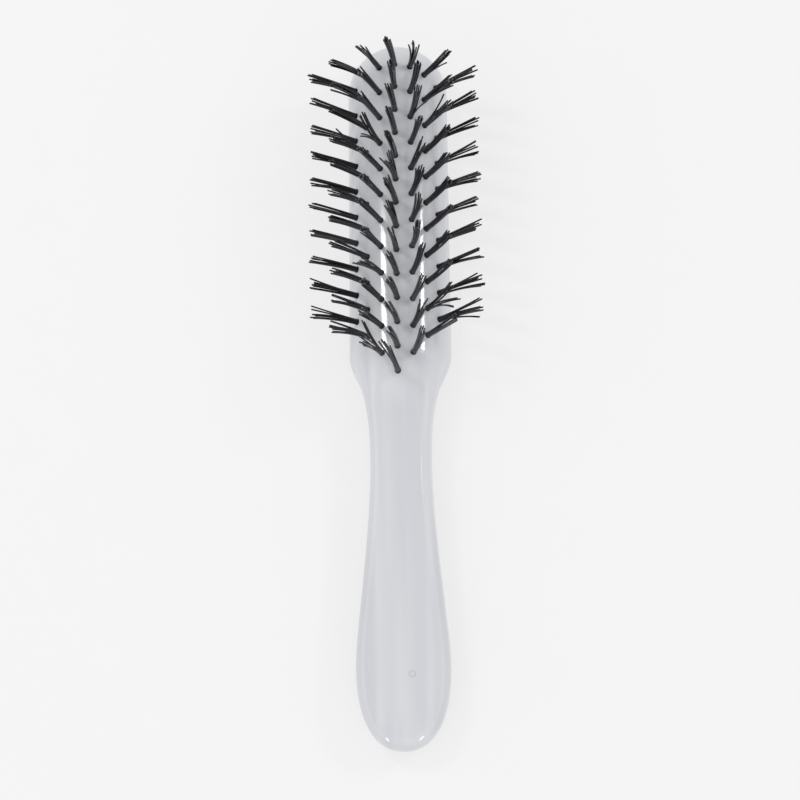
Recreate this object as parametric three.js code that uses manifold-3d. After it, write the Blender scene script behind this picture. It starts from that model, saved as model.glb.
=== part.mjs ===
// A half-round fade brush: one moulded body, and nylon tufts set in blind holes round its head.
// It lies on its back with the tufts up (+Z) and its head towards +Y. All sizes are in millimetres.

import * as THREE from 'three';
import { mergeVertices } from 'three/addons/utils/BufferGeometryUtils.js';
import Module from 'manifold-3d';

const wasm = await Module();
wasm.setup();

// Body, seen from above
const overallLength = 225;
const headLength = 102.5; // tip to the start of the shoulder
const headWidth = 31.7;
const shoulderLength = 34.5; // start of the shoulder to the waist of the neck
const neckWidth = 18.8;
const handleWidth = 28.4;
const handleEndLength = 25.5; // widest part of the handle to its end
const tipRoundness = 2.15; // 2 is a true ellipse, more is squarer
const handleEndRoundness = 2.3;
// The shares of a stretch's length for which its outline holds its first and its last width
const shoulderLeads = [ 0.22, 0.79 ];
const handleLeads = [ 0.375, 0.17 ];

// Body, seen from the side
const headHeight = 18; // back to the crest of the dome
const headEdgeHeight = 4; // back to the widest level of the head
const handleThickness = 14.5;
const domeRunOut = 16; // length over which the dome drops to the neck
const domeOverrun = 12.5; // start of the shoulder to the middle of that drop
const sideRoundness = 2.6; // how full both ends are in side view
const domeRoundness = 2; // a true half-round
const handleRoundness = 3; // a flattened front with soft edges
const backRoundness = 2.6;
const backFlatDepth = 0.5; // how much of the back's swell is flattened off

// Tufts
const tuftDiameter = 1.8;
const tuftTipDiameter = 2.8;
const tuftFreeLength = 18.6;
const tuftHoleDepth = 5;
const tuftClearance = 0.3;
const columnStep = 18; // degrees round the dome from one column to the next
const splayStep = 14.2; // degrees that each column leans further out than the last
const rowsInColumn = [14, 12, 11, 10]; // centre column first, then outwards
const tipMargin = 10; // head tip to the centre column's first tuft
const rearOverrun = 8.4; // start of the shoulder to the centre column's last tuft
const rearStep = 5.8; // how much sooner each column ends than the one inside it
const footThickness = 1; // bar that joins two outer tufts under the surface
const footLift = 1; // foot's middle above the end of the tuft

// Fineness of the faceted solids
const pointsRound = 32;
const stepsPerStretch = 8;
const sidesPerTuft = 8;
const outlineHalvings = 40; // each halves the error of a width read off the outline
const weldDistance = 1e-4;

// Places along the brush
const tipEnd = overallLength / 2;
const headRadius = headWidth / 2;
const tipStart = tipEnd - headRadius;
const shoulderStart = tipEnd - headLength;
const neckWaist = shoulderStart - shoulderLength;
const handleEnd = -overallLength / 2;
const handleWidest = handleEnd + handleEndLength;
const domeMiddle = shoulderStart - domeOverrun;

const up = new THREE.Vector3( 0, 1, 0 );
const fullSize = new THREE.Vector3( 1, 1, 1 );

const whitePlastic = new THREE.MeshStandardMaterial( { color: 0xd3d4d8, roughness: 0.22, metalness: 0 } );
const blackNylon = new THREE.MeshStandardMaterial( { color: 0x232326, roughness: 0.45, metalness: 0 } );

// One side of the outline between two widths, level at both ends
function sweep( from, fromHalf, to, toHalf, [ leadIn, leadOut ] ) {

	const length = from - to;
	return new THREE.CubicBezierCurve(
		new THREE.Vector2( from, fromHalf ),
		new THREE.Vector2( from - length * leadIn, fromHalf ),
		new THREE.Vector2( to + length * leadOut, toHalf ),
		new THREE.Vector2( to, toHalf )
	);

}

const shoulder = sweep( shoulderStart, headRadius, neckWaist, neckWidth / 2, shoulderLeads );
const swell = sweep( neckWaist, neckWidth / 2, handleWidest, handleWidth / 2, handleLeads );

// The half width of a sweep at one place along the brush
function widthOnSweep( curve, y ) {

	let low = 0;
	let high = 1;
	for ( let i = 0; i < outlineHalvings; i ++ ) {

		const middle = ( low + high ) / 2;
		if ( curve.getPoint( middle ).x > y ) low = middle;
		else high = middle;

	}

	return curve.getPoint( low ).y;

}

// The share of the full size that is left at a share of the way into a rounded end
function roundedEnd( share, roundness ) {

	return Math.pow( Math.max( 0, 1 - Math.pow( share, roundness ) ), 1 / roundness );

}

function endShare( y ) {

	if ( y > tipStart ) return ( y - tipStart ) / headRadius;
	if ( y < handleWidest ) return ( handleWidest - y ) / handleEndLength;
	return 0;

}

function halfWidthAt( y ) {

	if ( y > tipStart ) return headRadius * roundedEnd( endShare( y ), tipRoundness );
	if ( y > shoulderStart ) return headRadius;
	if ( y > neckWaist ) return widthOnSweep( shoulder, y );
	if ( y > handleWidest ) return widthOnSweep( swell, y );
	return handleWidth / 2 * roundedEnd( endShare( y ), handleEndRoundness );

}

// The body's section across Y: a front that is half-round on the head and flattened on the handle,
// and a shallow back
function sectionAt( y ) {

	const onHead = THREE.MathUtils.smoothstep( y, domeMiddle - domeRunOut / 2, domeMiddle + domeRunOut / 2 );
	const edge = THREE.MathUtils.lerp( handleThickness / 2, headEdgeHeight, onHead );
	const crest = THREE.MathUtils.lerp( handleThickness, headHeight, onHead );
	const fullness = roundedEnd( endShare( y ), sideRoundness );
	return {
		halfWidth: halfWidthAt( y ),
		edge,
		rise: ( crest - edge ) * fullness,
		drop: ( edge + backFlatDepth ) * fullness,
		frontRoundness: THREE.MathUtils.lerp( handleRoundness, domeRoundness, onHead )
	};

}

// Height of the front surface
function frontHeight( x, y ) {

	const section = sectionAt( y );
	return section.edge + section.rise * roundedEnd( Math.abs( x ) / section.halfWidth, section.frontRoundness );

}

function places( from, to, ease ) {

	return Array.from( { length: stepsPerStretch }, ( _, i ) =>
		THREE.MathUtils.lerp( from, to, ease( i / stepsPerStretch ) ) );

}

// Sections from the tip to the handle's end, closest together in the two rounded ends
function stations() {

	return [
		...places( tipEnd, tipStart, ( t ) => 1 - Math.cos( t * Math.PI / 2 ) ),
		...places( tipStart, shoulderStart, ( t ) => t ),
		...places( shoulderStart, neckWaist, ( t ) => t ),
		...places( neckWaist, handleWidest, ( t ) => t ),
		...places( handleWidest, handleEnd, ( t ) => Math.sin( t * Math.PI / 2 ) ),
		handleEnd
	];

}

// A sphere whose rings of points are moved onto the brush's sections
function bodyGeometry() {

	const rings = stations();
	const geometry = new THREE.SphereGeometry( 1, pointsRound, rings.length - 1 );
	const position = geometry.attributes.position;
	rings.forEach( ( y, ring ) => {

		const section = sectionAt( y );
		for ( let i = 0; i <= pointsRound; i ++ ) {

			const angle = i % pointsRound / pointsRound * Math.PI * 2;
			const front = Math.sin( angle ) >= 0;
			const power = 2 / ( front ? section.frontRoundness : backRoundness );
			const across = Math.sign( Math.cos( angle ) ) * Math.pow( Math.abs( Math.cos( angle ) ), power );
			const height = Math.pow( Math.abs( Math.sin( angle ) ), power );
			const z = section.edge + ( front ? section.rise : - section.drop ) * height;
			position.setXYZ( ring * ( pointsRound + 1 ) + i, - section.halfWidth * across, y, Math.max( z, 0 ) );

		}

	} );
	return geometry;

}

function solidFrom( geometry, matrix = new THREE.Matrix4() ) {

	const bare = geometry.clone().applyMatrix4( matrix );
	bare.deleteAttribute( 'normal' );
	bare.deleteAttribute( 'uv' );
	const merged = mergeVertices( bare, weldDistance );
	return new wasm.Manifold( new wasm.Mesh( {
		numProp: 3,
		vertProperties: new Float32Array( merged.attributes.position.array ),
		triVerts: new Uint32Array( merged.index.array )
	} ) );

}

function geometryFrom( solid ) {

	const { vertProperties, triVerts } = solid.getMesh();
	const geometry = new THREE.BufferGeometry();
	geometry.setAttribute( 'position', new THREE.BufferAttribute( vertProperties, 3 ) );
	geometry.setIndex( new THREE.BufferAttribute( triVerts, 1 ) );
	geometry.computeVertexNormals();
	return geometry;

}

// Where one tuft stands: its root on the front surface, and the turn that lays +Y along it
function tuftPlace( column, side, row ) {

	const x = headRadius * Math.sin( THREE.MathUtils.degToRad( column * columnStep ) );
	const first = tipEnd - tipMargin - ( headRadius - Math.sqrt( headRadius ** 2 - x ** 2 ) );
	const last = shoulderStart - rearOverrun + column * rearStep;
	const y = THREE.MathUtils.lerp( first, last, row / ( rowsInColumn[ column ] - 1 ) );
	const lean = THREE.MathUtils.degToRad( column * splayStep ) * side;
	const root = new THREE.Vector3( side * x, y, frontHeight( x, y ) );
	const along = new THREE.Vector3( Math.sin( lean ), 0, Math.cos( lean ) );
	const turn = new THREE.Quaternion().setFromUnitVectors( up, along );
	return { root, turn, matrix: new THREE.Matrix4().compose( root, turn, fullSize ) };

}

// A tuft along +Y from its foot in the hole to its trimmed tips; the surface is at height 0
function tuftGeometry() {

	return new THREE.LatheGeometry( [
		new THREE.Vector2( 0, - tuftHoleDepth ),
		new THREE.Vector2( tuftDiameter / 2, - tuftHoleDepth ),
		new THREE.Vector2( tuftDiameter / 2, 0 ),
		new THREE.Vector2( tuftTipDiameter / 2, tuftFreeLength ),
		new THREE.Vector2( 0, tuftFreeLength )
	], sidesPerTuft );

}

// The cut for one tuft, from under its foot to well clear of the surface
function holeGeometry() {

	const radius = tuftDiameter / 2 + tuftClearance;
	const length = tuftFreeLength + tuftHoleDepth + tuftClearance;
	return new THREE.CylinderGeometry( radius, radius, length, sidesPerTuft )
		.translate( 0, tuftFreeLength - length / 2, 0 );

}

// A bar under the surface between the feet of two tufts, or the cut for it
function footBar( placeA, placeB, clearance ) {

	const foot = new THREE.Vector3( 0, footLift - tuftHoleDepth, 0 );
	const a = foot.clone().applyMatrix4( placeA.matrix );
	const b = foot.clone().applyMatrix4( placeB.matrix );
	const thickness = footThickness + 2 * clearance;
	const bar = new THREE.BoxGeometry( thickness, a.distanceTo( b ), thickness );
	const turn = new THREE.Quaternion().setFromUnitVectors( up, b.clone().sub( a ).normalize() );
	return solidFrom( bar, new THREE.Matrix4().compose( a.lerp( b, 0.5 ), turn, fullSize ) );

}

const tuft = tuftGeometry();
const hole = holeGeometry();
const brush = new THREE.Group();
const cuts = [];

function addMesh( name, geometry, material ) {

	const mesh = new THREE.Mesh( geometry, material );
	mesh.name = name;
	brush.add( mesh );
	return mesh;

}

function numbered( name, row ) {

	return `${ name }_${ String( row + 1 ).padStart( 2, '0' ) }`;

}

// A column of tufts that each stand alone
function addColumn( name, column, side ) {

	for ( let row = 0; row < rowsInColumn[ column ]; row ++ ) {

		const place = tuftPlace( column, side, row );
		const mesh = addMesh( numbered( name, row ), tuft, blackNylon );
		mesh.position.copy( place.root );
		mesh.quaternion.copy( place.turn );
		cuts.push( solidFrom( hole, place.matrix ) );

	}

}

// The two outer columns of one side: each outer tuft shares a buried foot with the tuft beside it,
// and the inner column's spare last tuft shares the last pair's foot
function addOuterPairs( name, side ) {

	const outer = rowsInColumn.length - 1;
	const inner = outer - 1;
	for ( let row = 0; row < rowsInColumn[ outer ]; row ++ ) {

		const beside = tuftPlace( inner, side, row );
		const others = [ tuftPlace( outer, side, row ) ];
		const lastPair = row === rowsInColumn[ outer ] - 1;
		for ( let spare = row + 1; lastPair && spare < rowsInColumn[ inner ]; spare ++ ) {

			others.push( tuftPlace( inner, side, spare ) );

		}

		let group = solidFrom( tuft, beside.matrix );
		cuts.push( solidFrom( hole, beside.matrix ) );
		for ( const other of others ) {

			group = group.add( solidFrom( tuft, other.matrix ) ).add( footBar( beside, other, 0 ) );
			cuts.push( solidFrom( hole, other.matrix ), footBar( beside, other, tuftClearance ) );

		}

		addMesh( numbered( name, row ), geometryFrom( group ), blackNylon );

	}

}

addColumn( 'tuft_centre', 0, 1 );
addColumn( 'tuft_inner_left', 1, - 1 );
addColumn( 'tuft_inner_right', 1, 1 );
addOuterPairs( 'tuft_pair_left', - 1 );
addOuterPairs( 'tuft_pair_right', 1 );

const body = cuts.reduce( ( solid, cut ) => solid.subtract( cut ), solidFrom( bodyGeometry() ) );
addMesh( 'brush_body', geometryFrom( body ), whitePlastic );

export default brush;
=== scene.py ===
# A half-round fade brush: one moulded body, eighty nylon tufts and the flat wire anchors that hold them.
# It lies on its back with its head towards +Y. Sizes are in millimetres and are turned to metres last.
import math
import random

import bmesh
import bpy
import numpy as np
from mathutils import Matrix, Quaternion, Vector


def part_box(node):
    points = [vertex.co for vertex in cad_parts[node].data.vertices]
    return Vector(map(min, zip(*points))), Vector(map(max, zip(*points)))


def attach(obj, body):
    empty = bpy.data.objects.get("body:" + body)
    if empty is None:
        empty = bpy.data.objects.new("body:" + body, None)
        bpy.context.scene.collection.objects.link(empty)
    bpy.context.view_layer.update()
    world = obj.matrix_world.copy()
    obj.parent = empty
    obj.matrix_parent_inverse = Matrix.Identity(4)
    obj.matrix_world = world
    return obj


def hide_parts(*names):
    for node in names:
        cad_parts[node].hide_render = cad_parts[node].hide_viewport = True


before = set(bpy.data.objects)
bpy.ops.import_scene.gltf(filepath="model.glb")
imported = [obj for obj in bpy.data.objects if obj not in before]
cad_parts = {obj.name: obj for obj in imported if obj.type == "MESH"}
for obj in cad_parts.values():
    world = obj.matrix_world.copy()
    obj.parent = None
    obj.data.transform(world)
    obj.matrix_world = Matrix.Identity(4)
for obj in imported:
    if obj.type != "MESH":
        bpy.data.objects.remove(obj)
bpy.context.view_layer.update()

mm = 0.001
bodyLow, bodyHigh = (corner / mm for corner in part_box("brush_body"))


# Camera and light

# The head points up the picture, seen from a little towards the handle and from the right
cameraSet = dict(lens=93.35, distance=640.5, tilt=15.48, side=3.46, roll=-0.7, aimHeight=8, aimLower=5.06,
                 clipStart=10)


def placeCamera():
    side, tilt, roll = (math.radians(cameraSet[name]) for name in ("side", "tilt", "roll"))
    back = Vector((math.sin(side), -math.sin(tilt) * math.cos(side), math.cos(tilt) * math.cos(side)))
    right = Quaternion(back, roll) @ Vector((0, 1, 0)).cross(back).normalized()
    target = Vector((0, 0, cameraSet["aimHeight"]))
    eye = target + back * cameraSet["distance"]
    aim = target - back.cross(right) * cameraSet["aimLower"]  # a little low, so the brush sits high
    back = (eye - aim).normalized()
    camera = bpy.data.objects.new("camera", bpy.data.cameras.new("camera"))
    camera.data.lens = cameraSet["lens"]
    camera.data.clip_start = cameraSet["clipStart"] * mm
    axes = Matrix((right, back.cross(right), back)).transposed()
    camera.matrix_world = Matrix.Translation(eye * mm) @ axes.to_4x4()
    bpy.context.scene.collection.objects.link(camera)
    bpy.context.scene.camera = camera


# Wide softboxes overhead, in front and low on both sides fill the form. Two small ones draw a narrow
# highlight down each side of the dome, and two more put a glint on each corner of the handle's end.
# Glow is how bright each looks beside a white sheet in full light. The room fills the rest.
softboxes = dict(
    overhead=dict(place=(0, 60, 820), size=(1100, 1300), glow=0.12),
    front=dict(place=(0, -720, 400), size=(1300, 500), glow=0.4),
    leftFill=dict(place=(-700, -20, 260), size=(300, 1100), glow=0.75),
    rightFill=dict(place=(700, -20, 260), size=(300, 1100), glow=0.5),
    left=dict(place=(-295, 212, 518), size=(105, 86), glow=20),
    right=dict(place=(605, 260, 518), size=(85, 145), glow=24),
    frontLeft=dict(place=(-340, -720, 400), size=(110, 130), glow=9),
    frontRight=dict(place=(300, -720, 400), size=(110, 130), glow=9),
)
softboxAim = (0, 50, 10)
roomLight = dict(colour="#FFFFFF", strength=0.77)


def hexColour(code):
    channels = [int(code[i:i + 2], 16) / 255 for i in (1, 3, 5)]
    linear = [c / 12.92 if c <= 0.04045 else ((c + 0.055) / 1.055) ** 2.4 for c in channels]
    return (*linear, 1.0)


def addSoftbox(name, place, size, glow):
    lamp = bpy.data.lights.new(name, "AREA")
    lamp.shape = "RECTANGLE"
    lamp.size, lamp.size_y = (side * mm for side in size)
    lamp.energy = glow * math.pi * lamp.size * lamp.size_y
    holder = bpy.data.objects.new(name, lamp)
    back = (Vector(place) - Vector(softboxAim)).normalized()
    right = Vector((0, 1, 0)).cross(back).normalized()  # keeps its length along the brush
    turn = Matrix((right, back.cross(right), back)).transposed().to_4x4()
    holder.matrix_world = Matrix.Translation(Vector(place) * mm) @ turn
    bpy.context.scene.collection.objects.link(holder)


def lightRoom():
    for name, settings in softboxes.items():
        addSoftbox(name + "Softbox", **settings)
    world = bpy.data.worlds.new("room")
    world.use_nodes = True
    room = world.node_tree.nodes["Background"]
    room.inputs["Color"].default_value = hexColour(roomLight["colour"])
    room.inputs["Strength"].default_value = roomLight["strength"]
    bpy.context.scene.world = world
    bpy.context.scene.view_settings.view_transform = "Standard"


placeCamera()
lightRoom()
print("camera and light placed")


# Materials

def newMaterial(name, **settings):
    material = bpy.data.materials.new(name)
    material.use_nodes = True
    shader = material.node_tree.nodes["Principled BSDF"]
    for socket, value in settings.items():
        shader.inputs[socket.replace("_", " ")].default_value = value
    return material


# Adds a node and returns the output named give. An input given as a socket is linked, any other is set.
def addNode(material, kind, give, inputs, **settings):
    node = material.node_tree.nodes.new("ShaderNode" + kind)
    for name, value in settings.items():
        setattr(node, name, value)
    for name, value in inputs.items():
        socket = next(s for s in node.inputs if s.name == name and s.enabled)
        if isinstance(value, bpy.types.NodeSocket):
            material.node_tree.links.new(value, socket)
        else:
            socket.default_value = value
    return next(s for s in node.outputs if s.name == give and s.enabled)


def linkShader(material, **sockets):
    shader = material.node_tree.nodes["Principled BSDF"]
    for name, socket in sockets.items():
        material.node_tree.links.new(socket, shader.inputs[name.replace("_", " ")])


# The texture scale that gives features of this size
def featureScale(size):
    return 1 / (size * mm)


# ABS, injection moulded in a polished tool: a cool pale grey with a clear, tight gloss.
# Its tint drifts at random in faint long bands, a painted reflection that stands for the soft bands
# the gloss shows along the body, and hairlines from handling soften the gloss in places.
absLook = dict(
    colour="#CACBCF", reflectionBandColour="#C2C3C8", reflectionBandWidth=6, reflectionBandLength=160,
    ior=1.54, roughness=0.11, hairlineRoughness=0.26,
    hairlineWidth=0.25, hairlineLength=12,  # real ones are near 0.03 wide, too fine to show
    peelSize=1.1, peelHeight=0.003,
)


def mouldedAbs():
    look = absLook
    material = newMaterial("polishedMouldedAbs", IOR=look["ior"])
    place = addNode(material, "TexCoord", "Object", {})
    across, along = featureScale(look["reflectionBandWidth"]), featureScale(look["reflectionBandLength"])
    drawnOut = addNode(material, "Mapping", "Vector", {"Vector": place, "Scale": (across, along, across)})
    bands = addNode(material, "TexNoise", "Fac", {"Vector": drawnOut, "Scale": 1.0, "Detail": 1.0})
    # Noise places the painted reflection bands, which darken the tint in long stripes
    paintedReflectionBands = addNode(material, "MapRange", "Result", {"Value": bands, "From Min": 0.38, "From Max": 0.62})
    tint = addNode(material, "Mix", "Result", {
        "Factor": paintedReflectionBands, "A": hexColour(look["colour"]), "B": hexColour(look["reflectionBandColour"]),
    }, data_type="RGBA")
    across, along = featureScale(look["hairlineWidth"]), featureScale(look["hairlineLength"])
    stretched = addNode(material, "Mapping", "Vector", {"Vector": place, "Scale": (across, along, across)})
    streaks = addNode(material, "TexNoise", "Fac", {"Vector": stretched, "Scale": 1.0, "Detail": 1.0})
    hairlines = addNode(material, "MapRange", "Result", {
        "Value": streaks, "From Min": 0.66, "From Max": 0.74,
        "To Min": look["roughness"], "To Max": look["hairlineRoughness"]})
    peel = addNode(material, "TexNoise", "Fac", {
        "Vector": place, "Scale": featureScale(look["peelSize"]), "Detail": 1.0})
    surface = addNode(material, "Bump", "Normal", {"Height": peel, "Distance": look["peelHeight"] * mm})
    linkShader(material, Base_Color=tint, Roughness=hairlines, Normal=surface)
    return material


# Nylon, extruded as filament and trimmed after tufting: near black with a soft grey sheen along each
# filament and a paler, duller face where it is cut. Filaments are tinted at random from near black to a
# paler grey, and the pale grey is a painted sheen on top of the real gloss.
nylonLook = dict(
    colour="#050506", paintedSheenColour="#3A3A42", cutColour="#343438", cutLength=0.12,
    ior=1.53, specular=0.3, roughness=0.24, dullRoughness=0.36, drawLength=1.6, drawHeight=0.004,
)


def extrudedNylon():
    look = nylonLook
    material = newMaterial("extrudedBlackNylon", IOR=look["ior"], Specular_IOR_Level=look["specular"])
    paintedSheen = addNode(material, "Attribute", "Fac", {}, attribute_name="filamentPaintedSheen")
    fromTip = addNode(material, "Attribute", "Fac", {}, attribute_name="fromTip")
    # Each filament mixes from near black towards a paler grey, a painted sheen
    colour = addNode(material, "Mix", "Result", {
        "Factor": paintedSheen, "A": hexColour(look["colour"]), "B": hexColour(look["paintedSheenColour"]),
    }, data_type="RGBA")
    cut = addNode(material, "MapRange", "Result", {
        "Value": fromTip, "From Min": 0.0, "From Max": look["cutLength"], "To Min": 1.0, "To Max": 0.0})
    trimmed = addNode(material, "Mix", "Result", {
        "Factor": cut, "A": colour, "B": hexColour(look["cutColour"]),
    }, data_type="RGBA")
    place = addNode(material, "TexCoord", "Object", {})
    drawn = addNode(material, "TexNoise", "Fac", {
        "Vector": place, "Scale": featureScale(look["drawLength"]), "Detail": 2.0})
    roughness = addNode(material, "MapRange", "Result", {
        "Value": drawn, "From Min": 0.3, "From Max": 0.7,
        "To Min": look["roughness"], "To Max": look["dullRoughness"]})
    surface = addNode(material, "Bump", "Normal", {"Height": drawn, "Distance": look["drawHeight"] * mm})
    linkShader(material, Base_Color=trimmed, Roughness=roughness, Normal=surface)
    return material


# Steel wire, drawn flat and sheared to length: grey metal with fine draw lines along it
wireLook = dict(
    colour="#B8B4AA", darkColour="#8F8C85", roughness=0.28, dullRoughness=0.42,
    lineWidth=0.08, lineLength=3,
)


def drawnSteel():
    look = wireLook
    material = newMaterial("drawnFlatSteelWire", Metallic=1.0)
    place = addNode(material, "TexCoord", "Object", {})
    across, along = featureScale(look["lineWidth"]), featureScale(look["lineLength"])
    stretched = addNode(material, "Mapping", "Vector", {"Vector": place, "Scale": (across, along, across)})
    lines = addNode(material, "TexNoise", "Fac", {"Vector": stretched, "Scale": 1.0, "Detail": 1.0})
    colour = addNode(material, "Mix", "Result", {
        "Factor": lines, "A": hexColour(look["colour"]), "B": hexColour(look["darkColour"]),
    }, data_type="RGBA")
    roughness = addNode(material, "MapRange", "Result", {
        "Value": lines, "To Min": look["roughness"], "To Max": look["dullRoughness"]})
    linkShader(material, Base_Color=colour, Roughness=roughness)
    return material


# Matt painted board under the brush: plain and pale, with only a faint mottle from the roller
boardLook = dict(colour="#8A8A8A", mottleColour="#888888", mottleSize=14, glow=0.625, roughness=0.9)
boardHalf = 4000


def paintedBoard():
    look = boardLook
    material = newMaterial("mattPaintedBoard", Roughness=look["roughness"], Specular_IOR_Level=0.0,
                           Emission_Color=(1, 1, 1, 1), Emission_Strength=look["glow"])
    place = addNode(material, "TexCoord", "Object", {})
    mottle = addNode(material, "TexNoise", "Fac", {
        "Vector": place, "Scale": featureScale(look["mottleSize"])})
    colour = addNode(material, "Mix", "Result", {
        "Factor": mottle, "A": hexColour(look["colour"]), "B": hexColour(look["mottleColour"]),
    }, data_type="RGBA")
    linkShader(material, Base_Color=colour)
    return material


absMaterial, nylonMaterial, wireMaterial = mouldedAbs(), extrudedNylon(), drawnSteel()
print("materials made")


# Meshes

def meshObject(name, points, faces, material, smoothUpTo=35):
    mesh = bpy.data.meshes.new(name)
    mesh.from_pydata([Vector(p) * mm for p in points], [], faces)
    finishMesh(mesh, material, smoothUpTo)
    made = bpy.data.objects.new(name, mesh)
    bpy.context.scene.collection.objects.link(made)
    return made


# Faces look out, and edges sharper than the angle stay crisp
def finishMesh(mesh, material, smoothUpTo=35):
    work = bmesh.new()
    work.from_mesh(mesh)
    bmesh.ops.recalc_face_normals(work, faces=work.faces)
    work.to_mesh(mesh)
    work.free()
    mesh.materials.clear()
    mesh.materials.append(material)
    mesh.shade_smooth()
    mesh.set_sharp_from_angle(angle=math.radians(smoothUpTo))


def ringFaces(rings, pointsRound):
    return [
        (ring * pointsRound + i, ring * pointsRound + (i + 1) % pointsRound,
         (ring + 1) * pointsRound + (i + 1) % pointsRound, (ring + 1) * pointsRound + i)
        for ring in range(rings - 1) for i in range(pointsRound)
    ]


# Body

body = dict(
    headLength=102.5,  # tip to the start of the shoulder
    shoulderLength=34.5,  # start of the shoulder to the waist of the neck
    neckWidth=18.8,
    handleWidth=28.4,
    handleEndLength=25.5,  # widest part of the handle to its end
    shoulderLeads=(0.22, 0.79),  # shares of a stretch that hold its first and its last width
    handleLeads=(0.375, 0.17),
    tipRoundness=2.15,  # 2 is a true ellipse, more is squarer
    handleEndRoundness=2.3,
    headEdgeHeight=4,  # back to the widest level of the head
    handleThickness=14.5,
    domeRunOut=16,  # length over which the dome drops to the neck
    domeOverrun=12.5,  # start of the shoulder to the middle of that drop
    sideRoundness=2.6,
    domeRoundness=2,
    handleRoundness=3,
    backRoundness=2.6,
    backFlatDepth=0.5,
    backBlend=0.35,  # softness of the edge round the flat of the back
    partingHeight=0.05, partingAngle=0.011,  # the mould's parting line round the widest level
    sinkDepth=0.1, sinkFromMiddle=5, sinkWidth=1.9,  # two shallow sinks along the handle
    sinkFrom=-44, sinkTo=-106, sinkFade=10, sinkEndFade=12,
    pointsRound=176, ringSpacing=0.692, sweepSteps=400,
)

tipEnd, handleEnd = bodyHigh.y, bodyLow.y
headRadius = bodyHigh.x
tipStart = tipEnd - headRadius
shoulderStart = tipEnd - body["headLength"]
neckWaist = shoulderStart - body["shoulderLength"]
handleWidest = handleEnd + body["handleEndLength"]
domeMiddle = shoulderStart - body["domeOverrun"]


def smoothStep(low, high, value):
    share = np.clip((value - low) / (high - low), 0, 1)
    return share * share * (3 - 2 * share)


def blend(first, last, share):
    return first + (last - first) * share


# The share of the full size that is left at a share of the way into a rounded end
def roundedEnd(share, roundness):
    return np.maximum(0, 1 - np.abs(share) ** roundness) ** (1 / roundness)


# Half widths between two widths, level at both ends
def sweepWidth(y, start, startHalf, end, endHalf, leads):
    t = np.linspace(0, 1, body["sweepSteps"])
    length = start - end
    weights = np.stack([(1 - t) ** 3, 3 * t * (1 - t) ** 2, 3 * t ** 2 * (1 - t), t ** 3])
    along = weights.T @ (start, start - length * leads[0], end + length * leads[1], end)
    half = weights.T @ (startHalf, startHalf, endHalf, endHalf)
    return np.interp(y, along[::-1], half[::-1])


def halfWidth(y):
    neck, handle = body["neckWidth"] / 2, body["handleWidth"] / 2
    return np.select(
        [y > tipStart, y > shoulderStart, y > neckWaist, y > handleWidest],
        [
            headRadius * roundedEnd(endShare(y), body["tipRoundness"]),
            headRadius,
            sweepWidth(y, shoulderStart, headRadius, neckWaist, neck, body["shoulderLeads"]),
            sweepWidth(y, neckWaist, neck, handleWidest, handle, body["handleLeads"]),
        ],
        handle * roundedEnd(endShare(y), body["handleEndRoundness"]),
    )


# The share of the way into the rounded tip or the rounded end of the handle, 0 between them
def endShare(y):
    intoTip = (y - tipStart) / headRadius
    intoHandleEnd = (handleWidest - y) / body["handleEndLength"]
    return np.clip(np.maximum(intoTip, intoHandleEnd), 0, 1)


# Half width, widest level, rise of the front, drop of the back and roundness of the front
def sectionAt(y):
    onHead = smoothStep(domeMiddle - body["domeRunOut"] / 2, domeMiddle + body["domeRunOut"] / 2, y)
    edge = blend(body["handleThickness"] / 2, body["headEdgeHeight"], onHead)
    crest = blend(body["handleThickness"], bodyHigh.z, onHead)
    fullness = roundedEnd(endShare(y), body["sideRoundness"])
    roundness = blend(body["handleRoundness"], body["domeRoundness"], onHead)
    rise, drop = (crest - edge) * fullness, (edge + body["backFlatDepth"]) * fullness
    return halfWidth(y), edge, rise, drop, roundness


def frontHeight(x, y):
    half, edge, rise, _, roundness = sectionAt(y)
    return float(edge + rise * roundedEnd(x / half, roundness))


# Places from the tip to the handle's end, closing up towards both rounded ends
def ringPlaces():
    def count(length):
        return round(length / body["ringSpacing"])
    quarter = np.linspace(0, math.pi / 2, count(headRadius))
    lastQuarter = np.linspace(0, math.pi / 2, count(body["handleEndLength"]))
    return np.concatenate([
        tipStart + headRadius * np.cos(quarter[1:-1]),
        np.linspace(tipStart, shoulderStart, count(tipStart - shoulderStart))[:-1],
        np.linspace(shoulderStart, neckWaist, count(body["shoulderLength"]))[:-1],
        np.linspace(neckWaist, handleWidest, count(neckWaist - handleWidest))[:-1],
        handleWidest - body["handleEndLength"] * np.sin(lastQuarter[:-1]),
    ])


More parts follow.
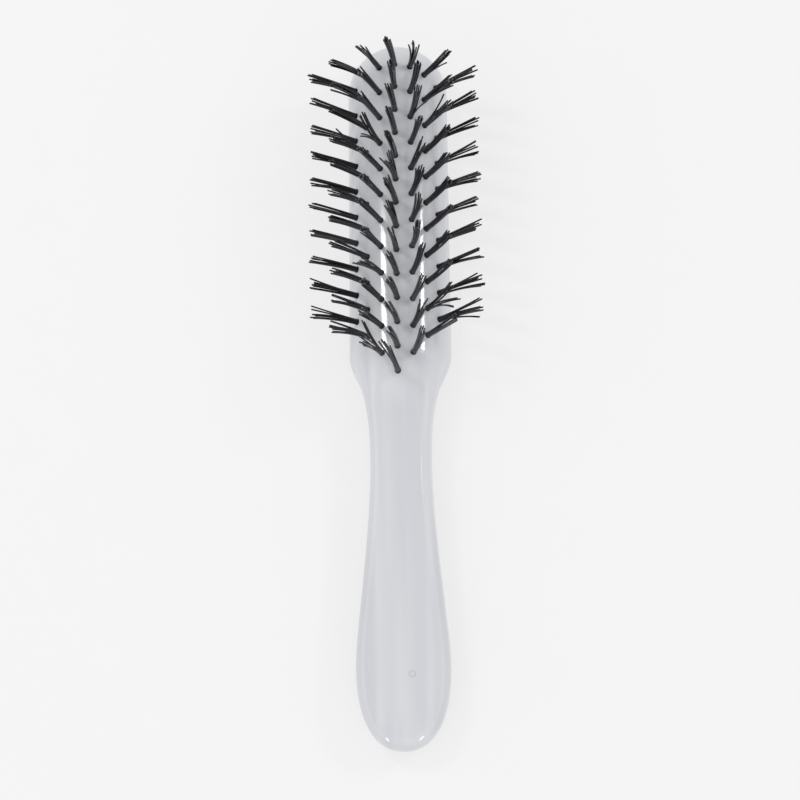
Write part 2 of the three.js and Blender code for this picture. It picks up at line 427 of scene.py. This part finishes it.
def bodyShell():
    line = body["partingAngle"]
    even = np.linspace(0, 2 * math.pi, body["pointsRound"], endpoint=False)
    beside = [step * line + half for step in (-3, -1, 1, 3) for half in (0, math.pi)]
    angles = np.sort(np.unique(np.concatenate([even, np.mod(beside, 2 * math.pi)])))
    y = ringPlaces()[:, None]
    half, edge, rise, drop, roundness = sectionAt(y)
    front = np.sin(angles) >= 0
    power = np.where(front, 2 / roundness, 2 / body["backRoundness"])
    cosine, sine = np.cos(angles), np.abs(np.sin(angles))
    x = half * np.sign(cosine) * np.abs(cosine) ** power
    atWidest = np.isclose(sine, 0, atol=1e-6)  # where the two halves of the mould meet
    x += np.where(atWidest, np.sign(cosine) * body["partingHeight"], 0)
    z = edge + np.where(front, rise, -drop) * sine ** power
    sunk = smoothStep(body["sinkFrom"] + body["sinkFade"], body["sinkFrom"] - body["sinkFade"], y)
    sunk = sunk * smoothStep(body["sinkTo"], body["sinkTo"] + body["sinkEndFade"], y)
    hollow = np.exp(-((np.abs(x) - body["sinkFromMiddle"]) / body["sinkWidth"]) ** 2)
    z -= front * sunk * body["sinkDepth"] * hollow
    z = (z + np.hypot(z, body["backBlend"])) / 2  # rests on its flat without a hard edge round it
    z -= z.min()
    points = np.stack([x, np.broadcast_to(y, x.shape), z], axis=2).reshape(-1, 3).tolist()
    rings, around = x.shape
    ends = len(points)
    points += [(0, tipEnd, float(z[0].mean())), (0, handleEnd, float(z[-1].mean()))]
    faces = ringFaces(rings, around)
    last = (rings - 1) * around
    for i in range(around):
        faces.append((i, (i + 1) % around, ends))
        faces.append((last + (i + 1) % around, last + i, ends + 1))
    return points, faces


# Tufts

tufts = dict(
    rowsInColumn=(14, 12, 11, 10),  # centre column first, then outwards
    columnStep=18,  # degrees round the dome from one column to the next
    splayStep=14.2,  # degrees that each column leans further out than the last
    tipMargin=10,  # head tip to the centre column's first tuft
    rearOverrun=8.4,  # start of the shoulder to the centre column's last tuft
    rearStep=5.8,  # how much sooner each column ends than the one inside it
    freeLength=18.6,
    holeDepth=5.2,
    holeDiameter=1.96,
    rimWidth=0.1,  # the soft rim that the mould leaves round each hole
    rimDepth=0.12,
    rimEase=0.35,  # share of the rim that its middle step takes up
    rimRise=0.02,  # how far the cutter's rim stands above the surface
    cutterFlare=3, cutterClear=2,  # the cutter widens by this many rims, up to this height
)


# Root on the front surface, and the turn that lays +Z along the tuft
def tuftPlace(column, side, row):
    x = headRadius * math.sin(math.radians(column * tufts["columnStep"]))
    first = tipEnd - tufts["tipMargin"] - (headRadius - math.sqrt(headRadius ** 2 - x ** 2))
    last = shoulderStart - tufts["rearOverrun"] + column * tufts["rearStep"]
    y = blend(first, last, row / (tufts["rowsInColumn"][column] - 1))
    lean = math.radians(column * tufts["splayStep"]) * side
    return Matrix.Translation((side * x, y, frontHeight(x, y))) @ Matrix.Rotation(lean, 4, "Y")


# A solid turned round its own Z from (radius, height) pairs, which start and end on the axis
def turned(profile, matrix, pointsRound=24):
    (_, low), *rim, (_, high) = profile
    points = [
        matrix @ Vector((radius * math.cos(turn), radius * math.sin(turn), height))
        for radius, height in rim
        for turn in (i / pointsRound * 2 * math.pi for i in range(pointsRound))
    ]
    points += [matrix @ Vector((0, 0, low)), matrix @ Vector((0, 0, high))]
    faces = ringFaces(len(rim), pointsRound)
    last = (len(rim) - 1) * pointsRound
    for i in range(pointsRound):
        faces.append(((i + 1) % pointsRound, i, len(points) - 2))
        faces.append((last + i, last + (i + 1) % pointsRound, len(points) - 1))
    return points, faces


def joined(parts):
    points, faces = [], []
    for partPoints, partFaces in parts:
        faces += [[corner + len(points) for corner in face] for face in partFaces]
        points += partPoints
    return points, faces


def holeCut(matrix):
    radius, rim = tufts["holeDiameter"] / 2, tufts["rimWidth"]
    depth, clear = tufts["holeDepth"], tufts["cutterClear"]
    rimDepth, ease = tufts["rimDepth"], tufts["rimEase"]
    return turned([
        (0, -depth), (radius, -depth),
        (radius, -rimDepth), (radius + rim * ease, -rimDepth * ease), (radius + rim, tufts["rimRise"]),
        (radius + rim * tufts["cutterFlare"], clear), (0, clear)], matrix)


# Where the plastic was let into the mould, on the handle's front: a small flat sunk spot
gateMark = dict(x=3, y=-90.4, diameter=2, depth=0.22, flare=1.3, clear=1)


def gateCut():
    radius = gateMark["diameter"] / 2
    top = frontHeight(gateMark["x"], gateMark["y"]) - body["sinkDepth"]
    matrix = Matrix.Translation((gateMark["x"], gateMark["y"], top))
    depth, clear = gateMark["depth"], gateMark["clear"]
    return turned([(0, -depth), (radius, -depth), (radius * gateMark["flare"], clear), (0, clear)], matrix)


def cutShell(shell, cutter):
    cut = shell.modifiers.new("holes", "BOOLEAN")
    cut.object = cutter
    cut.operation = "DIFFERENCE"
    cut.solver = "EXACT"
    bpy.context.view_layer.update()
    made = shell.evaluated_get(bpy.context.evaluated_depsgraph_get())
    mesh = bpy.data.meshes.new_from_object(made)
    shell.modifiers.clear()
    shell.data = mesh
    finishMesh(mesh, absMaterial)
    bpy.data.objects.remove(cutter)


# Every tuft: the CAD node that it belongs to, its column, side and row. Outer tufts share a node with the
# one beside them.
def allTufts():
    centre, inner, beside, outer = tufts["rowsInColumn"]
    found = [(f"tuft_centre_{row + 1:02d}", 0, 1, row) for row in range(centre)]
    for name, side in (("left", -1), ("right", 1)):
        found += [(f"tuft_inner_{name}_{row + 1:02d}", 1, side, row) for row in range(inner)]
        found += [(f"tuft_pair_{name}_{min(row + 1, outer):02d}", 2, side, row) for row in range(beside)]
        found += [(f"tuft_pair_{name}_{row + 1:02d}", 3, side, row) for row in range(outer)]
    return found


places = {(column, side, row): tuftPlace(column, side, row) for _, column, side, row in allTufts()}
shell = meshObject("brush_body_moulded", *bodyShell(), absMaterial)
cuts = [holeCut(matrix) for matrix in places.values()] + [gateCut()]
cutShell(shell, meshObject("cutter", *joined(cuts), absMaterial))
shell.data.name = shell.name
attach(shell, "root")
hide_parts("brush_body")
print("body moulded and drilled:", len(shell.data.polygons), "faces")


# Flat wire anchors at the bottoms of the holes; each tuft is folded in half under one

anchors = dict(width=1.86, height=1.2, thickness=0.2, foot=4.0, bevel=0.03)


def anchorBlock(matrix):
    half, thick, bevel = anchors["width"] / 2, anchors["thickness"] / 2, anchors["bevel"]
    low, high = -anchors["foot"], anchors["height"] - anchors["foot"]
    loops = [(thick - bevel, half - bevel, low), (thick, half, low + bevel),
             (thick, half, high - bevel), (thick - bevel, half - bevel, high)]
    points = [
        matrix @ Vector((sideways * x, endways * y, z))
        for x, y, z in loops for sideways, endways in ((1, 1), (-1, 1), (-1, -1), (1, -1))
    ]
    return points, ringFaces(len(loops), 4) + [(3, 2, 1, 0), (12, 13, 14, 15)]


plates = meshObject("tuft_anchors", *joined([anchorBlock(m) for m in places.values()]), wireMaterial)
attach(plates, "root")
print("anchors set:", len(places))


# Filaments

filament = dict(
    diameter=0.5,
    ringRadius=0.65, legs=8,  # the legs stand in a ring, and share out over the bundles along the brush
    plateGap=0.1,  # each leg stands this much further out beside the plate
    spread=0.25, spreadPower=1.7,  # how far the tips open, as a share of the stem, and how late
    wander=0.16,  # sideways wander of each filament's tip
    cutError=0.35,  # unevenness of the trim
    twist=14, lean=0.4, splitTurn=30,  # degrees, millimetres at the tip, and degrees from along the brush
    strayReach=(1.4, 2.8), strayShare=0.3,
    lateBend=0.2,  # how much of a filament's bend comes before its tip
    neckDepth=0.9, footLift=0.05,  # where a leg leaves its plate, and the gap under the fold
    foldSteps=6,
    paintedSheenPower=2,  # most filaments are dark and few are pale with painted sheen
    smoothUpTo=40,
    sides=8, stations=8,
)

# How use has set the tufts of each column: the lean of their tips (across, along), the odds that a tuft
# stays in one bundle or splits into two or three, and how far the bundles part
columnHabits = {
    (0, 1): dict(lean=(-0.9, 0.1), odds=(3, 5, 2), split=(0.3, 0.9)),
    (1, -1): dict(lean=(0.1, -0.4), odds=(5, 5, 1), split=(0.3, 1.0)),
    (1, 1): dict(lean=(-0.9, 0.8), odds=(4, 6, 1), split=(0.4, 1.0)),
    (2, -1): dict(lean=(-0.5, -1.0), odds=(5, 5, 1), split=(0.3, 0.9)),
    (2, 1): dict(lean=(-0.8, 0.4), odds=(5, 5, 1), split=(0.3, 0.9)),
    (3, -1): dict(lean=(0.1, -0.7), odds=(4, 5, 1), split=(0.3, 0.9)),
    (3, 1): dict(lean=(0.2, -0.3), odds=(1, 3, 6), split=(0.9, 1.7)),
}

# Tufts that are bent in their own way: where their bundles end, from straight (across, along)
bentTufts = {
    (0, 1, 5): [(-2.5, -0.4), (-0.7, 0.9)],
    (0, 1, 13): [(-1.8, 3.1), (-3.7, 3.6)],
    (1, -1, 0): [(1.4, -1.1), (-0.6, -0.9)],
    (1, -1, 3): [(-0.1, -3.5), (0.6, 1.8), (0.6, 2.1), (0.8, 2.2)],
    (1, -1, 8): [(-2.2, -1.6), (0.1, -2.5), (0.2, -2.3)],
    (1, -1, 11): [(0.5, -2.2), (-0.1, -1.5), (0.2, -0.6), (0.3, 4.1)],
    (1, 1, 0): [(-1.4, -1.2), (-3.0, -1.0), (-2.1, -0.6)],
    (1, 1, 8): [(-0.6, 1.9)],
    (2, 1, 9): [(-0.2, -4.1), (1.5, -1.7), (-1.0, 1.4), (-1.2, 1.7)],
    (3, -1, 9): [(0.5, -1.9), (0.4, -1.7), (0.0, 0.3)],
    (3, 1, 9): [(0.0, -3.1), (0.9, -1.1), (0.8, -0.8), (0.2, 1.1)],
}


# Where each leg of a tuft ends, from straight: in one bundle or a split, and at times with a stray
def tipPlaces(chance, habit):
    legs = filament["legs"]
    lean = [usual + chance.gauss(0, filament["lean"]) for usual in habit["lean"]]
    bundles = chance.choices((1, 2, 3), habit["odds"])[0]
    reach = chance.uniform(*habit["split"]) if bundles > 1 else 0
    turn = math.radians(90 + chance.gauss(0, filament["splitTurn"]))
    tips = []
    for leg in range(legs):
        side = reach * ((leg * bundles // legs) - (bundles - 1) / 2)
        tips.append((lean[0] + side * math.cos(turn), lean[1] + side * math.sin(turn)))
    if chance.random() < filament["strayShare"]:
        turn, reach = chance.uniform(0, 2 * math.pi), chance.uniform(*filament["strayReach"])
        tips[0 if math.sin(turn) < 0 else -1] = (reach * math.cos(turn), reach * math.sin(turn))
    return tips


# Middle lines of a tuft's folded filaments, in its own frame
def filamentLines(chance, where):
    stem, stations = filament["ringRadius"], filament["stations"]
    twist = math.radians(chance.gauss(0, filament["twist"]))
    tips = tipPlaces(chance, columnHabits[where[:2]])
    if where in bentTufts:
        bundles = bentTufts[where]
        tips = [bundles[i * len(bundles) // filament["legs"]] for i in range(filament["legs"])]

    def leg(x, y, number):
        turn = math.atan2(y, x)
        drift = [tip + chance.gauss(0, filament["wander"]) for tip in tips[number]]
        length = tufts["freeLength"] + chance.gauss(0, filament["cutError"])
        tilt = (drift[0] ** 2 + drift[1] ** 2) / (2 * length ** 2)
        points = []
        for station in range(stations + 1):
            share = station / stations
            radius = stem * (1 + filament["spread"] * share ** filament["spreadPower"])
            angle = turn + twist * share
            bend = share ** 2 * (1 + filament["lateBend"] * (1 - share))
            side = (radius * math.cos(angle) + drift[0] * bend, radius * math.sin(angle) + drift[1] * bend)
            points.append(Vector((*side, length * share * (1 - tilt * share))))
        return points

    lines = []
    folded = filament["legs"] // 2
    for i in range(folded):
        turn = ((i + 0.5) / folded - 0.5) * math.pi
        x, y = stem * math.cos(turn), stem * math.sin(turn)
        out, back = leg(x, y, 2 * i), leg(-x, y, 2 * i + 1)
        foot = -anchors["foot"] + filament["footLift"]
        deepX, neck, steps = x + filament["plateGap"], -filament["neckDepth"], filament["foldSteps"]
        fold = [Vector((deepX * math.cos(a), y, foot - deepX * math.sin(a)))
                for a in (k / steps * math.pi for k in range(steps + 1))]
        lines.append(out[::-1] + [Vector((deepX, y, neck))] + fold + [Vector((-deepX, y, neck))] + back)
    return lines


def tube(line, sides, radius):
    points, fromTip = [], []
    along = [0.0]
    for a, b in zip(line, line[1:]):
        along.append(along[-1] + (b - a).length)
    across = None
    for i, point in enumerate(line):
        ahead = (line[min(i + 1, len(line) - 1)] - line[max(i - 1, 0)]).normalized()
        across = (ahead.orthogonal() if across is None else across - ahead * across.dot(ahead)).normalized()
        up = ahead.cross(across)
        points += [point + (across * math.cos(t) + up * math.sin(t)) * radius
                   for t in (k / sides * 2 * math.pi for k in range(sides))]
        fromTip += [min(along[i], along[-1] - along[i])] * sides
    last = (len(line) - 1) * sides
    faces = ringFaces(len(line), sides)
    faces += [tuple(reversed(range(sides))), tuple(range(last, last + sides))]
    return points, faces, fromTip


def makeTufts():
    groups = {}
    for name, *where in allTufts():
        groups.setdefault(name, []).append(tuple(where))
    for name, members in groups.items():
        parts, paintedSheens, tips = [], [], []
        for column, side, row in members:
            chance = random.Random(f"tuft {column} {side} {row}")
            matrix = places[column, side, row]
            for line in filamentLines(chance, (column, side, row)):
                placed = [matrix @ p for p in line]
                points, faces, fromTip = tube(placed, filament["sides"], filament["diameter"] / 2)
                parts.append((points, faces))
                # Each filament gets a random share of painted sheen, a paler grey that stands in for its
                # gloss
                paintedSheens += [chance.random() ** filament["paintedSheenPower"]] * len(points)
                tips += fromTip
        made = meshObject(name.replace("tuft", "bristles"), *joined(parts), nylonMaterial,
                          filament["smoothUpTo"])
        for label, values in (("filamentPaintedSheen", paintedSheens), ("fromTip", tips)):
            made.data.attributes.new(label, "FLOAT", "POINT").data.foreach_set("value", values)
        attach(made, "root")
        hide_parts(name)


makeTufts()
print("tufts set")


# Ground

corners = [(x * boardHalf, y * boardHalf, 0) for x, y in ((-1, -1), (1, -1), (1, 1), (-1, 1))]
ground = meshObject("ground", corners, [(0, 1, 2, 3)], paintedBoard())
